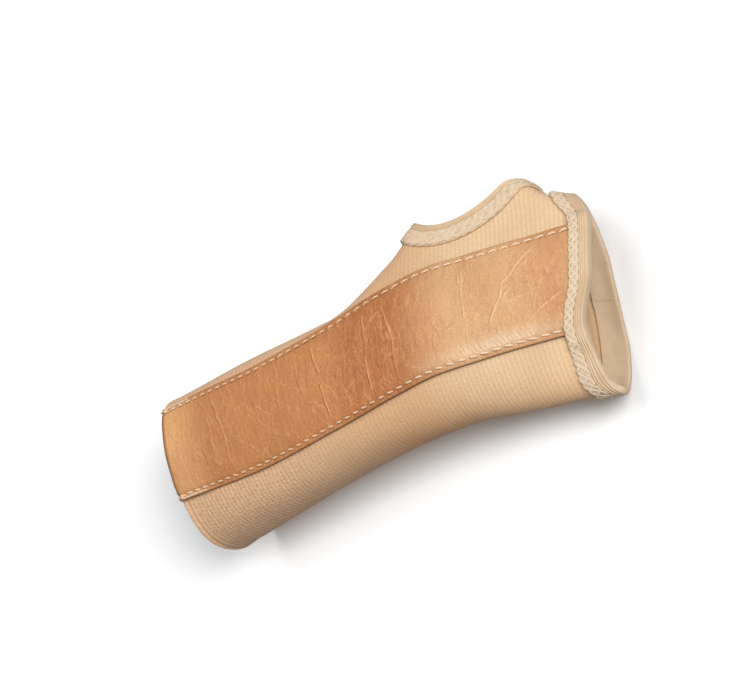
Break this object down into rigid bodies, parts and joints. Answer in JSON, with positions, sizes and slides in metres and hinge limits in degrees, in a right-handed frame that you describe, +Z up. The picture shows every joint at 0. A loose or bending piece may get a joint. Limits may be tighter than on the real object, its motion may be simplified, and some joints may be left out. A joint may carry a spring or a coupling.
{
  "type": "wrist splint",
  "caption": "Elastic knit wrist splint for a left hand, with a thumb opening and a leather palm pocket that holds a removable stiffening stay.",
  "frame": {"origin": "centre of the bounding box at its lowest level, which is the table that the splint lies on, palm side up", "axes": "+X from the forearm end to the hand end, +Y to the thumb side, +Z up out of the palm side"},
  "size_m": [0.197, 0.0886, 0.0497],
  "materials": {
    "knit": "ribbed elastic knit",
    "leather": "brushed, matt, with fine creases",
    "lining": "plain woven",
    "binding": "folded ribbed elastic",
    "thread": "twisted polyester thread",
    "stay": "brushed strip",
    "tip": "dipped vinyl"
  },
  "bodies": {
    "sleeve": {"elastic_sleeve": "knit", "pocket_cover": "leather", "pocket_lining": "lining", "palm_binding": "binding", "thumb_binding": "binding", "palm_cover_stitch": "thread", "thumb_cover_stitch": "thread", "radial_seam_thread": "thread", "ulnar_seam_thread": "thread", "radial_bobbin_thread": "thread", "ulnar_bobbin_thread": "thread", "radial_backtack_thread": "thread", "ulnar_backtack_thread": "thread"},
    "stay": {"palmar_stay": "stay", "stay_tip_proximal": "tip", "stay_tip_distal": "tip"}
  },
  "joints": [
    {"name": "stay_withdraw", "type": "hinge", "parent": "sleeve", "child": "stay", "pos_m": [-0.06898, -0.00462, -0.62742], "axis": [0, -1, 0], "range_deg": [0, 15.5]}
  ]
}
